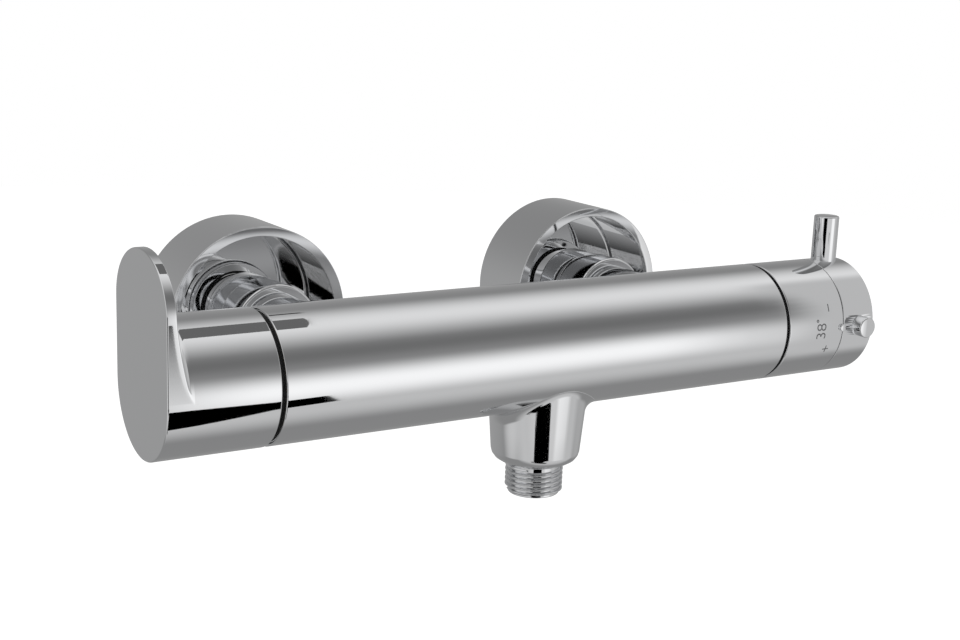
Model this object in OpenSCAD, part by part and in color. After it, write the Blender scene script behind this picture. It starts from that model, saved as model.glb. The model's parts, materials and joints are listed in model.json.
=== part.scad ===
/* [Bar] */
// Diameter of the bar, of the flow handle and of the temperature cap
bar_d = 45.2; // [38:0.2:52]
// Distance from the bar's axis to the finished wall
axis_to_wall = 105.5; // [98:0.5:115]
// Distance between the two wall inlets
inlet_spacing = 150; // [140:1:160]
// Length of the body beyond the middle of the left inlet
left_overhang = 33.75; // [28:0.25:45]
// Length of the body beyond the middle of the right inlet
right_overhang = 22.7; // [18.5:0.1:35]
// Width of the black shadow groove at each end of the body
groove_w = 1.5; // [1:0.1:2.5]
// Depth of the shadow grooves
groove_deep = 1.8; // [1:0.1:2.5]
// Chamfer on the ends of the turned skins
skin_chamfer = 0.4; // [0.2:0.1:0.8]

/* [Waterways] */
// Radius of the mixed water bore along the axis
mixed_r = 8; // [6:0.5:9]
// Radius of the hot and the outlet channels drilled beside it
channel_r = 3.5; // [2.5:0.5:4]
// Distance of those channels from the axis
channel_off = 15.5; // [15:0.1:16]
// Radius of the hole that feeds the headwork
seat_r = 6; // [4:0.5:7]

/* [Outlet] */
// Radius of the outlet boss where it leaves the bar
boss_top_r = 17.4; // [15:0.1:19]
// Radius of the outlet boss near its lower edge
boss_low_r = 16.1; // [14:0.1:17]
// Distance from the axis down to the boss's lower face
boss_drop = 42.2; // [38:0.1:48]
// Rounding of the boss's lower edge
boss_round = 4; // [1:0.5:5]
// Length of hose thread below the boss
hose_len = 12.3; // [9:0.1:16]
// Radius of the water bore in the hose nipple
hose_bore_r = 7; // [5:0.5:8]
// Length of the nipple that is screwed up into the boss
hose_root = 11; // [8:0.5:12]

/* [Half inch thread] */
// Crest radius of the G 1/2 thread
half_r = 10.478; // [10.4:0.001:10.5]
// Depth of the thread
thread_deep = 1.16; // [0.8:0.02:1.4]
// Pitch of the thread
thread_pitch = 1.814; // [1.4:0.001:2.4]
// Chamfer at the thread's free end
thread_chamfer = 1.3; // [0.8:0.1:1.6]

/* [Inlet] */
// Radius of the neck cast on the back of the bar
neck_r = 13.2; // [13:0.1:14]
// Distance from the axis to the end of the neck
neck_end = 58.5; // [54:0.5:60]
// Radius of the screwed-in inlet nipple
nipple_r = 11.2; // [10.8:0.1:11.4]
// Depth of the nipple's socket in the neck
nipple_root = 18; // [14:1:22]
// Radius of the bore in the nipple
nipple_bore_r = 8.6; // [8:0.1:9]
// Thickness of the nipple's flange
flange_t = 3.3; // [2:0.1:4]
// Radius of the way from the neck into the bar
inlet_way_r = 5.5; // [4:0.5:6]

/* [Union nut] */
// Crest radius of the G 3/4 thread
union_r = 13.22; // [13:0.01:13.4]
// Outer radius of the union nut at its front edge
nut_r = 16.2; // [15.6:0.1:18]
// Outer radius of the union nut at its back edge
nut_back_r = 15.7; // [15.4:0.1:17]
// Length of the union nut
nut_len = 16.1; // [15:0.1:18]
// Thickness of the nut's inner lip
nut_lip = 3.2; // [2:0.1:4]
// Chamfer on the nut's front edge
nut_chamfer = 1; // [0.5:0.1:1.5]
// Thickness of the flat washer
washer_t = 2; // [1.5:0.1:3]

/* [Wall union] */
// Radius of the round shoulder behind the nut
shoulder_r = 15.5; // [14.5:0.1:17]
// Length of that shoulder
shoulder_len = 12.3; // [10:0.1:14]
// Width of the turned line behind the shoulder
line_w = 0.4; // [0.2:0.1:1]
// Depth of the turned line
line_deep = 0.5; // [0.2:0.1:1]
// Length of the taper down to the tail
taper_len = 10; // [6:0.5:11]
// Radius of the tail that passes the escutcheon
tail_r = 13; // [12:0.1:13.4]
// Distance that the tail stops short of the wall
tail_back = 1.5; // [1:0.5:3]
// Length of the G 1/2 thread behind the wall plane
wall_thread = 16; // [12:0.5:20]
// Radius of the water bore in the wall union
union_bore_r = 7.5; // [6:0.5:8]
// Depth of the strainer's seat
strainer_deep = 7; // [5:0.5:9]

/* [Escutcheon] */
// Outer radius of the escutcheon
rose_r = 34.9; // [32:0.1:40]
// Depth of the escutcheon from the wall to its rim
rose_deep = 30.5; // [26:0.5:34]
// Thickness of its side wall
rose_wall = 2.8; // [1.5:0.1:4]
// Rounding of its rim
rose_round = 1.3; // [0.5:0.1:1.4]
// Thickness of its floor
rose_floor = 3.5; // [2:0.5:5]
// Outer radius of the collar round the tail
collar_r = 17.3; // [16.5:0.1:19]
// Height of that collar above the floor
collar_h = 4; // [3:0.1:6]
// Thickness of the collar's wall
collar_wall = 1.9; // [1:0.1:2.5]
// Depth of the rubber seal below the collar's edge
seal_sink = 1; // [0.5:0.1:2]

/* [Check valve] */
// Outer radius of the check valve cage
cage_r = 8.5; // [7.8:0.1:8.5]
// Length of the cage
cage_len = 15; // [13:0.5:16]
// Thickness of the cage's wall
cage_wall = 1.4; // [1:0.1:2]
// Radius of the poppet's head
poppet_r = 6; // [5:0.1:6.4]
// Thickness of the poppet's head
poppet_t = 2; // [1.5:0.1:3]
// Radius of the poppet's stem
stem_r = 1.5; // [1:0.1:2]
// Radius of the wire of the check spring
check_wire = 0.35; // [0.25:0.05:0.5]

/* [Flow handle] */
// Length of the flow handle
handle_len = 37; // [34:0.5:44]
// Height above the axis at which the paddle's round top starts
paddle_shoulder = 25.9; // [20:0.1:30]
// Height of the paddle's round top
paddle_crown = 18; // [12:0.1:22]
// Thickness of the paddle at its top
paddle_tip_t = 2.1; // [1.6:0.1:4]
// Radius of the scoop behind the paddle
scoop_r = 170; // [120:5:260]
// Radius of the fillet where the paddle meets the round part
paddle_fillet = 5.5; // [2:0.5:8]
// Wall thickness of the handle's skirt and of the cap
skirt_wall = 2.8; // [2:0.1:4]
// Thickness of the handle's end behind the paddle
handle_end_t = 4.5; // [3:0.5:6]
// Outer radius of the hub boss inside the handle and the cap
hub_boss_r = 12.5; // [11:0.5:14]
// Radius of the spline adaptors
adaptor_r = 9; // [8:0.1:9.5]
// Radius of the handle's grub screw
grub_r = 2.5; // [2:0.1:3]
// Length of the handle's grub screw
grub_len = 10; // [6:0.5:12]

/* [Headwork] */
// Radius of the headwork's thread
head_thread_r = 12.4; // [12:0.1:13]
// Length of the headwork's thread
head_thread_len = 20.2; // [16:0.1:24]
// Radius of the headwork's cage
head_cage_r = 10.7; // [10:0.1:10.8]
// Distance from the body's end to the headwork's seat
head_deep = 47; // [44:0.5:50]
// Corner radius of the headwork's hexagon
head_hex_r = 15.6; // [14:0.1:16]
// Thickness of the hexagon
head_hex_t = 5; // [4:0.5:7]
// Radius of the headwork's neck
head_neck_r = 7.8; // [7:0.1:8]
// Length of the headwork's neck
head_neck_len = 7.5; // [6:0.5:9]
// Radius of the chamber that holds the ceramic discs
chamber_r = 8.8; // [8:0.1:9]
// Thickness of each ceramic disc
disc_t = 3; // [2:0.5:4]
// Thickness of the rubber seat seal
seat_seal_t = 3.5; // [2:0.5:4]
// Radius of the flow spindle
spindle_r = 4; // [3.5:0.1:4.5]
// Width of the dog that turns the ceramic disc
dog_w = 7; // [5:0.5:8]
// Number of teeth on the splines
spline_teeth = 20; // [16:2:24]
// Radius of one spline groove
spline_cut_r = 0.35; // [0.2:0.05:0.4]
// Wire diameter of the small O-rings
small_ring_d = 1.2; // [1:0.1:1.5]
// Wire diameter of the large O-rings
large_ring_d = 1.7; // [1.4:0.1:2]

/* [Scale ring] */
// Length of the fixed ring that carries the temperature marks
scale_len = 27.4; // [24:0.1:32]
// Joint between the scale ring and the cap
cap_joint = 0.3; // [0.2:0.1:0.6]
// Length of the plastic carrier inside the ring
carrier_len = 24; // [20:0.5:25]
// Inner radius of the carrier
carrier_bore_r = 16.7; // [16.6:0.1:17.5]
// Thickness of the temperature stop ring
stop_t = 1; // [0.8:0.1:1.5]
// Height of the stop ring's tooth
stop_tooth = 1; // [0.6:0.1:1.5]

/* [Temperature cap] */
// Length of the cap
cap_len = 15.9; // [15:0.1:20]
// Thickness of the cap's end wall
cap_end_t = 2; // [1.6:0.1:2.2]
// Distance from the cap's outer end to the pin lever and the button
pin_inset = 7.4; // [7:0.1:9]
// Radius of the pin lever
pin_r = 4.9; // [3:0.1:5.5]
// Height of the pin lever's top above the bar's axis
pin_top = 40; // [34:0.5:60]
// Rounding of the pin's top edge
pin_round = 0.5; // [0.3:0.1:1]
// Depth of the pin's seat in the cap
pin_seat = 1; // [0.8:0.1:1.2]
// Radius of the pin's threaded stud
pin_stud_r = 2.5; // [2:0.1:3]
// Radius of the stop button
button_r = 4; // [3:0.1:4.5]
// Distance that the button stands out of the cap
button_out = 4.6; // [3:0.1:6]
// Radius of the button's flange
button_flange_r = 5; // [4.6:0.1:5.5]
// Thickness of that flange
button_flange_t = 1.3; // [1:0.1:1.6]
// Radius of the index dot
dot_r = 1.5; // [1:0.1:2]
// Thickness of the index dot
dot_t = 0.6; // [0.4:0.1:1]
// Overhang of the index dot's centre past the cap's edge
dot_over = 0.7; // [0.4:0.1:0.8]

/* [Thermostatic cartridge] */
// Radius of the cartridge's sealing bands
cart_r = 15.3; // [14:0.1:15.8]
// Radius of the cartridge between the bands
cart_waist_r = 13; // [12.5:0.1:13.5]
// Radius of the cartridge's inner spigot
spigot_r = 10; // [9:0.1:10.5]
// Length of that spigot
spigot_len = 8; // [6:0.5:9]
// Distance from the body's end to the shoulder of the spigot
cart_deep = 51.7; // [50:0.1:54]
// Length of the cartridge nut's thread
cart_nut_len = 8; // [6:0.5:9]
// Radius of the cartridge nut's thread
cart_nut_r = 17.2; // [16.5:0.1:17.6]
// Radius of the cartridge's neck
cart_neck_r = 12; // [11:0.1:12.5]
// Corner radius of the cartridge nut's hexagon
cart_hex_r = 16.2; // [15:0.1:16.3]
// Thickness of that hexagon
cart_hex_t = 5; // [4:0.5:6]
// Radius of the bore that guides the piston
piston_bore_r = 11.1; // [10.5:0.1:11.3]
// Length of the regulating piston
piston_len = 16; // [12:0.5:18]
// Thickness of the piston's wall
piston_wall = 1.4; // [1:0.1:2]
// Thickness of the piston's web
web_t = 2; // [1.5:0.1:3]
// Radius of the thermostatic element
wax_r = 4.5; // [4:0.1:5]
// Length of the thermostatic element below its flange
wax_len = 16; // [12:0.5:16]
// Radius of the element's flange
wax_flange_r = 6.5; // [6:0.1:7]
// Length of the element's push pin
push_len = 10; // [9.5:0.1:10.5]
// Outer radius of the overload cup
cup_r = 8; // [7.5:0.1:8.5]
// Length of the overload cup
cup_len = 10.5; // [9:0.5:11]
// Wall thickness of the overload cup
cup_wall = 1.2; // [1:0.1:1.5]
// Radius of the temperature spindle
temp_spindle_r = 5; // [4.5:0.1:5.2]
// Radius of the radial ports
port_r = 2; // [1.5:0.1:2.4]
// Number of ports in each row
port_count = 6; // [4:1:8]

/* [Fits] */
// Running clearance between a shaft and its hole
slip = 0.1; // [0.05:0.01:0.1]
// Clearance between faces that do not run on each other
gap = 0.3; // [0.2:0.05:0.5]
// Radial clearance of screwed and pushed fits
fit = 0.05; // [0.02:0.01:0.05]
// Overrun of every cut
over = 1; // [0.5:0.5:2]

/* [Hidden] */
$fn = 64;

left = -1;
right = 1;
chrome = "silver";
brass = "goldenrod";
rubber = [0.12, 0.12, 0.12];
plastic = "dimgray";
ceramic = "ivory";
steel = "lightsteelblue";

// Skins of the bar
bar_r = bar_d / 2;
pocket_r = bar_r - skirt_wall;
shadow_r = bar_r - groove_deep;
body_left = inlet_spacing / 2 + left_overhang;
body_right = inlet_spacing / 2 + right_overhang;
body_len = body_left + body_right;

// Thread outline
thread_root_r = half_r - thread_deep;
thread_neck_r = half_r - thread_deep / 4;
thread_run_in = thread_pitch / 2;
crest_from_share = 0.36;
crest_to_share = 0.64;

// Outlet
hose_root_r = half_r - thread_deep / 2;

// Inlets, measured from the bar's axis towards the wall
nut_clear = 1;
nut_z = neck_end + nut_clear;
nipple_flange_z = nut_z + nut_lip + gap;
washer_z = nipple_flange_z + flange_t;
union_z = washer_z + washer_t;
nut_back_z = nut_z + nut_len;
shoulder_z = nut_back_z + gap;
line_z = shoulder_z + shoulder_len;
taper_z = line_z + line_w;
tail_z = taper_z + taper_len;
tail_end_z = axis_to_wall - tail_back;
rose_z = axis_to_wall - rose_deep;
floor_z = axis_to_wall - rose_floor;
cage_inset = 3;
cage_end_t = 2;
cage_hole_r = 1;
cage_z = washer_z - cage_len - cage_inset;
cage_seat_lip = 1;
stem_short = 1;
neck_step = 1;

// Headwork, measured outward from the body's left end
seat_wall = 3;
seal_show = 1;
head_inner_z = seal_show - head_deep;
fixed_disc_z = seat_seal_t - head_deep;
moving_disc_z = fixed_disc_z + disc_t;
dog_z = moving_disc_z + disc_t;
shaft_z = dog_z + disc_t;
neck_top_z = head_hex_t + head_neck_len;
clip_t = 1;
clip_z = neck_top_z + gap;
stop_r = 13;
stop_ring_t = 3;
stop_tab_h = 6;
stop_tab_r = 15.3;
stop_tab_angle = 18;
lug_angle = 10;
tab_clear_angle = 1;
tab_inset = 1;
flow_turn = 90;
adaptor_z = clip_z + clip_t + gap;
adaptor_len = 12;
adaptor_top_z = adaptor_z + adaptor_len;
adaptor_flange_z = head_hex_t + stop_tab_h + gap;
adaptor_web = 1;
adaptor_flange_top_z = adaptor_z + adaptor_web;
handle_end_z = groove_w + handle_len;
handle_boss_z = adaptor_flange_top_z + gap;
handle_grub_z = handle_boss_z + 2 * grub_r;
flank_start = 1.5;
fillet_sink = 1;
paddle_root_z = handle_end_z - 2 * paddle_fillet;
paddle_back_z = handle_end_z - paddle_tip_t;

// Temperature side, measured outward from the body's right end
carrier_root_r = 18.2;
scale_end_z = groove_w + scale_len;
cap_z = scale_end_z + cap_joint;
cap_end_z = cap_z + cap_len;
pin_z = cap_end_z - pin_inset;
stop_ring_z = carrier_len;
stop_top_z = stop_ring_z + stop_t + stop_tooth;
tooth_turn = -120;
tooth_angle = 12;
hub_flange_t = 2;
hub_reach = 6;
hub_short = 4;
cap_boss_z = cap_z + hub_flange_t;
hub_z = cap_z - hub_reach;
hub_top_z = cap_end_z - cap_end_t - hub_short;
cap_grub_r = 2;
cap_grub_z = cap_boss_z + 1.5 * cap_grub_r;
button_top = bar_r + button_out;
button_flange_top = sqrt(pow(pocket_r - gap, 2) - pow(button_flange_r, 2));
button_flange_low = button_flange_top - button_flange_t;
tail_w = 4;
button_peg_len = 1;
pin_stud_len = 5;

// Cartridge, measured outward from the body's right end
spigot_z = -cart_deep - spigot_len + 2 * gap;
waist_z = gap - cart_deep;
band_len = 5;
hot_len = 12.7;
mid_band_z = waist_z + hot_len;
cold_waist_z = mid_band_z + band_len;
top_band_z = -cart_nut_len - band_len;
cart_floor_t = 2;
spigot_wall = 3;
port_inset = 3.4;
port_gap = 18;
port_lip = 1;
web_deep = 5;
web_hole_r = 1;
neck_floor = 4.3;
neck_proud = 1;
cart_floor_z = waist_z + cart_floor_t;
hot_port_z = cart_floor_z + port_inset;
cold_port_z = hot_port_z + port_gap;
cart_ceiling_z = -cart_nut_len - neck_floor;
piston_z = hot_port_z + port_r + port_lip;
web_z = piston_z + web_deep;
cup_z = web_z + 2 * web_t + push_len;
cup_floor_z = cup_z + cup_wall;
spindle_disc_t = 3;
spindle_disc_z = cart_ceiling_z - gap - spindle_disc_t;
spindle_short = 1;
spline_from = 1;

// Points of an arc about [r, z], for the outline of a turned piece
function arc(r, z, size, from, to, steps = 8) =
    [for (i = [0:steps]) let (a = from + (to - from) * i / steps)
        [r + size * cos(a), z + size * sin(a)]];

// Outline of a G 1/2 thread of ring-shaped ridges, from z for the given length
function thread_outline(z, length) =
    let (first = z + thread_run_in,
         turns = floor((length - thread_run_in - thread_chamfer) / thread_pitch),
         last = first + turns * thread_pitch)
    concat(
        [[thread_neck_r, z], [thread_neck_r, first]],
        [for (i = [0:turns - 1], p = [
            [thread_root_r, 0], [half_r, crest_from_share], [half_r, crest_to_share]])
            [p[0], first + (i + p[1]) * thread_pitch]],
        [[thread_root_r, last], [thread_root_r, z + length - thread_chamfer / 2],
         [thread_root_r - thread_chamfer / 2, z + length]]);

// Points and triangles of one coil spring of round wire about Z
coil_steps = 12;
coil_sides = 6;
function coil_point(r, wire, z0, z1, turns, i, j) =
    let (share = i / (turns * coil_steps), a = 360 * turns * share, b = 360 * j / coil_sides,
         reach = r + wire * cos(b))
    [reach * cos(a), reach * sin(a), z0 + wire + (z1 - z0 - 2 * wire) * share + wire * sin(b)];

module coil(r, wire, z0, z1, turns) {
    rings = turns * coil_steps;
    polyhedron(
        points = [for (i = [0:rings], j = [0:coil_sides - 1])
            coil_point(r, wire, z0, z1, turns, i, j)],
        faces = concat(
            [for (i = [0:rings - 1], j = [0:coil_sides - 1])
                let (a = i * coil_sides + j, b = i * coil_sides + (j + 1) % coil_sides)
                [a, a + coil_sides, b]],
            [for (i = [0:rings - 1], j = [0:coil_sides - 1])
                let (a = i * coil_sides + j, b = i * coil_sides + (j + 1) % coil_sides)
                [b, a + coil_sides, b + coil_sides]],
            [for (j = [1:coil_sides - 2]) [0, j, j + 1]],
            [for (j = [1:coil_sides - 2])
                [rings * coil_sides, rings * coil_sides + j + 1, rings * coil_sides + j]]));
}

// Frames: Z runs outward along the bar, towards the wall, or down through the outlet
module on_left() {
    translate([-body_left, -axis_to_wall, 0]) rotate([0, -90, 0]) children();
}

module on_right() {
    translate([body_right, -axis_to_wall, 0]) rotate([0, 90, 0]) children();
}

module on_inlet(side) {
    translate([side * inlet_spacing / 2, -axis_to_wall, 0]) rotate([-90, 0, 0]) children();
}

module on_outlet() {
    translate([0, -axis_to_wall, 0]) rotate([180, 0, 0]) children();
}

// A piece turned on a lathe, from its outline of [radius, height] points
module turned(outline) {
    rotate_extrude() polygon(outline);
}

// A plain tube, or a rod where no bore is given
module tube(z0, z1, r, bore = 0) {
    difference() {
        translate([0, 0, z0]) cylinder(r = r, h = z1 - z0);
        if (bore > 0) hole(bore, z0 - over, z1 + over);
    }
}

module hole(r, z0, z1) {
    translate([0, 0, z0]) cylinder(r = r, h = z1 - z0);
}

// Anything that points away from the axis: Z becomes the distance from the axis
module radial(z, turn) {
    rotate([0, 0, turn]) translate([0, 0, z]) rotate([0, 90, 0]) children();
}

// A ring of round section
module o_ring(z, groove_r, d) {
    translate([0, 0, z]) rotate_extrude()
        translate([groove_r + d / 2, 0]) circle(r = d / 2 - fit, $fn = 24);
}

// A block of part of a ring
module sector(z0, z1, r0, r1, from, angle) {
    rotate([0, 0, from]) rotate_extrude(angle = angle)
        translate([r0, z0]) square([r1 - r0, z1 - z0]);
}

// Twenty fine grooves along the end of a spindle
module spline_cuts(r, z0, z1) {
    for (i = [0:spline_teeth - 1])
        rotate([0, 0, 360 * i / spline_teeth]) translate([r, 0, 0])
            hole(spline_cut_r, z0, z1 + over);
}

// Cast brass body: the bar, the outlet boss below it and the two necks behind it
module body_casting() {
    color(chrome) difference() {
        union() {
            on_left() turned([
                [0, -body_len], [bar_r - skin_chamfer, -body_len],
                [bar_r, skin_chamfer - body_len], [bar_r, -skin_chamfer],
                [bar_r - skin_chamfer, 0], [0, 0]]);
            on_outlet() turned(concat(
                [[0, bar_r - boss_top_r], [boss_top_r, bar_r - boss_top_r], [boss_top_r, bar_r]],
                arc(boss_low_r - boss_round, boss_drop - boss_round, boss_round, 0, 90),
                [[0, boss_drop]]));
            for (side = [left, right]) on_inlet(side) turned([
                [0, bar_r - neck_r], [neck_r, bar_r - neck_r], [neck_r, neck_end - skin_chamfer],
                [neck_r - skin_chamfer, neck_end], [0, neck_end]]);
        }
        headwork_bores();
        cartridge_bores();
        waterways();
    }
}

module headwork_bores() {
    on_left() {
        hole(head_thread_r + slip, -head_thread_len - gap, over);
        hole(head_cage_r + gap, -head_deep, over);
        hole(seat_r, -head_deep - seat_wall - over, over);
        radial(dog_z + disc_t / 2, 180) hole(channel_r, chamber_r, channel_off);
    }
}

module cartridge_bores() {
    on_right() {
        hole(mixed_r, head_deep + seat_wall - body_len, over);
        hole(spigot_r + slip, -cart_deep - spigot_len, over);
        hole(cart_r + slip, -cart_deep, over);
        hole(cart_nut_r + slip, -cart_nut_len - gap, over);
    }
}

module waterways() {
    // The hot channel runs behind the axis, from the left inlet to the cartridge
    translate([-inlet_spacing / 2, channel_off - axis_to_wall, 0]) rotate([0, 90, 0])
        hole(channel_r, 0, inlet_spacing / 2 + body_right - cart_deep + 2 * channel_r);
    // The outlet channel runs below the axis, from the headwork to the outlet
    port_x = -body_left - dog_z - disc_t / 2;
    translate([port_x, -axis_to_wall, -channel_off]) rotate([0, 90, 0])
        hole(channel_r, -channel_r, -port_x);
    on_outlet() {
        hole(hose_bore_r, channel_off - channel_r, boss_drop);
        hole(hose_root_r + fit, boss_drop - hose_root - gap, boss_drop + over);
    }
    for (side = [left, right]) on_inlet(side) {
        hole(inlet_way_r, channel_off - channel_r / 2, neck_end);
        hole(nipple_bore_r - neck_step, bar_r + over, neck_end);
        hole(nipple_r + fit, neck_end - nipple_root, neck_end + over);
    }
}

// Threaded nipple for the shower hose
module outlet_nipple() {
    color(chrome) on_outlet() difference() {
        turned(concat(
            [[0, boss_drop - hose_root], [hose_root_r, boss_drop - hose_root],
             [hose_root_r, boss_drop]],
            thread_outline(boss_drop, hose_len),
            [[0, boss_drop + hose_len]]));
        hole(hose_bore_r, boss_drop - hose_root - over, boss_drop + hose_len + over);
    }
}

// Black bush that fills the groove beside the flow handle
module flow_shadow_ring() {
    color(rubber) on_left() tube(0, groove_w - gap, shadow_r, head_hex_r + 2 * gap);
}

// Ceramic headwork that opens and closes the flow
module headwork_body() {
    color(brass) on_left() difference() {
        union() {
            tube(head_inner_z, 0, head_cage_r);
            tube(-head_thread_len, 0, head_thread_r);
            translate([0, 0, 0]) cylinder(r = head_hex_r, h = head_hex_t, $fn = 6);
            tube(0, neck_top_z, head_neck_r);
        }
        hole(chamber_r, head_inner_z - over, shaft_z + gap);
        hole(spindle_r + slip, head_inner_z, neck_top_z + over);
        for (turn = [0, 180])
            radial(dog_z + disc_t / 2, turn) hole(disc_t - gap, spindle_r, bar_r);
    }
}

module seat_seal() {
    color(rubber) on_left()
        tube(-head_deep, fixed_disc_z, chamber_r - slip, seat_r + fit);
}

// One ceramic disc with its two water holes
module ceramic_disc(z, turn) {
    color(ceramic) on_left() difference() {
        tube(z, z + disc_t, chamber_r - slip);
        for (side = [0, 180])
            rotate([0, 0, turn + side]) translate([chamber_r / 2, 0, 0])
                hole(chamber_r / 4, z - over, z + disc_t + over);
    }
}

module fixed_disc() {
    ceramic_disc(fixed_disc_z, 0);
}

module moving_disc() {
    ceramic_disc(moving_disc_z, flow_turn);
}

// Height of the two O-ring grooves on the flow spindle
first_groove = 8;
groove_pitch = 4;
spindle_grooves = [shaft_z + first_groove, shaft_z + first_groove + groove_pitch];
small_groove = small_ring_d - slip;

module flow_spindle() {
    color(brass) on_left() difference() {
        union() {
            intersection() {
                tube(dog_z, shaft_z, chamber_r - gap);
                translate([-bar_r, -dog_w / 2, dog_z]) cube([bar_d, dog_w, disc_t]);
            }
            tube(dog_z, adaptor_top_z, spindle_r);
        }
        for (z = spindle_grooves)
            tube(z - small_ring_d / 2, z + small_ring_d / 2, bar_r, spindle_r - small_groove);
        tube(clip_z - fit, clip_z + clip_t + fit, bar_r, spindle_r - clip_t + fit);
        spline_cuts(spindle_r, adaptor_z + spline_from, adaptor_top_z);
    }
}

module spindle_o_rings() {
    color(rubber) on_left() for (z = spindle_grooves)
        o_ring(z, spindle_r - small_groove, small_ring_d);
}

module spindle_circlip() {
    color(steel) on_left() difference() {
        tube(clip_z, clip_z + clip_t, spindle_r + 2 * clip_t, spindle_r - clip_t + 2 * fit);
        translate([0, -clip_t, clip_z - over]) cube([bar_r, 2 * clip_t, clip_t + 2 * over]);
    }
}

// Plastic ring with the two tabs that stop the handle
module handle_stop_ring() {
    color(plastic) on_left() {
        tube(head_hex_t, head_hex_t + stop_ring_t, stop_r, head_neck_r + slip);
        tab_edge = lug_angle / 2 + tab_clear_angle;
        for (from = [tab_edge, -flow_turn - tab_edge - stop_tab_angle])
            sector(head_hex_t, head_hex_t + stop_tab_h, head_neck_r + tab_inset, stop_tab_r,
                from, stop_tab_angle);
    }
}

// Splined sleeve that carries the handle, with the lug that meets the tabs
module handle_adaptor() {
    color(plastic) on_left() difference() {
        union() {
            tube(adaptor_z, adaptor_top_z, adaptor_r);
            tube(adaptor_flange_z, adaptor_flange_top_z, stop_tab_r);
            sector(head_hex_t + stop_ring_t + gap, adaptor_flange_top_z, stop_r + gap,
                stop_tab_r, -lug_angle / 2, lug_angle);
        }
        hole(spindle_r + slip, adaptor_flange_z - over, adaptor_top_z + over);
        hole(head_neck_r + gap, adaptor_flange_z - over, adaptor_z);
    }
}

// Outline of the paddle seen from the end: straight flanks and a half-round top
paddle_steps = 24;
function paddle_outline() = concat(
    [[flank_start, -bar_r]],
    [for (i = [0:paddle_steps]) let (a = 180 * i / paddle_steps - 90)
        [paddle_shoulder + paddle_crown * cos(a), bar_r * sin(a)]],
    [[flank_start, bar_r]]);

// Paddle, scooped thin from behind, and its fillet on the round part
module paddle() {
    difference() {
        translate([0, 0, paddle_root_z]) linear_extrude(height = handle_end_z - paddle_root_z)
            polygon(paddle_outline());
        translate([paddle_shoulder + paddle_crown, 0, paddle_back_z - scoop_r])
            rotate([90, 0, 0]) cylinder(r = scoop_r, h = 3 * bar_r, center = true, $fn = 360);
    }
    seat_z = paddle_back_z - fillet_sink;
    intersection() {
        translate([0, 0, paddle_root_z]) linear_extrude(height = handle_end_z - paddle_root_z)
            polygon(paddle_outline());
        turned(concat(
            [[bar_r - over, seat_z - paddle_fillet]],
            arc(bar_r + paddle_fillet, seat_z - paddle_fillet, paddle_fillet, 180, 90),
            [[bar_r + paddle_fillet, paddle_back_z], [bar_r - over, paddle_back_z]]));
    }
}

module flow_handle() {
    color(chrome) on_left() difference() {
        union() {
            turned([
                [0, groove_w], [bar_r - skin_chamfer, groove_w], [bar_r, groove_w + skin_chamfer],
                [bar_r, handle_end_z], [0, handle_end_z]]);
            paddle();
        }
        difference() {
            hole(pocket_r, groove_w - over, handle_end_z - handle_end_t);
            hole(hub_boss_r, handle_boss_z, handle_end_z);
        }
        hole(adaptor_r + fit, groove_w, adaptor_top_z + gap);
        radial(handle_grub_z, 180) hole(grub_r + fit, adaptor_r, bar_r + over);
    }
}

// Grub screw with a hexagon socket, pointing away from the axis
module grub(r, length) {
    difference() {
        hole(r, adaptor_r, adaptor_r + length);
        translate([0, 0, adaptor_r + length - r]) cylinder(r = r / 2, h = r + over, $fn = 6);
    }
}

module handle_grub_screw() {
    color(steel) on_left() radial(handle_grub_z, 180) grub(grub_r, grub_len);
}

module temperature_shadow_ring() {
    color(rubber) on_right() tube(0, groove_w - gap, shadow_r, carrier_root_r + slip);
}

// Plastic carrier that holds the scale ring on the body
module ring_carrier() {
    color(plastic) on_right() difference() {
        union() {
            tube(0, carrier_len, carrier_root_r);
            tube(groove_w, carrier_len, pocket_r - fit);
        }
        hole(carrier_bore_r, -over, carrier_len + over);
    }
}

module scale_ring() {
    color(chrome) on_right() turned([
        [pocket_r, groove_w], [bar_r - skin_chamfer, groove_w], [bar_r, groove_w + skin_chamfer],
        [bar_r, scale_end_z - skin_chamfer / 2], [bar_r - skin_chamfer / 2, scale_end_z],
        [pocket_r, scale_end_z]]);
}

large_groove = large_ring_d - slip;
band_ring_zs = [(mid_band_z + cold_waist_z) / 2, top_band_z + band_len / 2];
spigot_ring_z = spigot_z + spigot_len / 2;

module cartridge_housing() {
    color(brass) on_right() difference() {
        union() {
            tube(spigot_z, waist_z, spigot_r);
            tube(waist_z, -cart_nut_len, cart_waist_r);
            tube(mid_band_z, cold_waist_z, cart_r);
            tube(top_band_z, -cart_nut_len, cart_r);
            tube(top_band_z, cart_hex_t + neck_proud, cart_neck_r);
        }
        tube(spigot_ring_z - large_ring_d / 2, spigot_ring_z + large_ring_d / 2,
            bar_r, spigot_r - large_groove);
        for (z = band_ring_zs)
            tube(z - large_ring_d / 2, z + large_ring_d / 2, bar_r, cart_r - large_groove);
        hole(spigot_r - spigot_wall, spigot_z - over, cart_floor_z + over);
        hole(piston_bore_r, cart_floor_z, cup_z);
        hole(cup_r + slip, cart_floor_z, cart_ceiling_z);
        hole(temp_spindle_r + slip, cart_ceiling_z - over, cart_hex_t + neck_proud + over);
        for (z = [hot_port_z, cold_port_z], i = [0:port_count - 1])
            radial(z, 360 * i / port_count) hole(port_r, piston_bore_r - over, bar_r);
    }
}

module cartridge_o_rings() {
    color(rubber) on_right() {
        o_ring(spigot_ring_z, spigot_r - large_groove, large_ring_d);
        for (z = band_ring_zs) o_ring(z, cart_r - large_groove, large_ring_d);
    }
}

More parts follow.
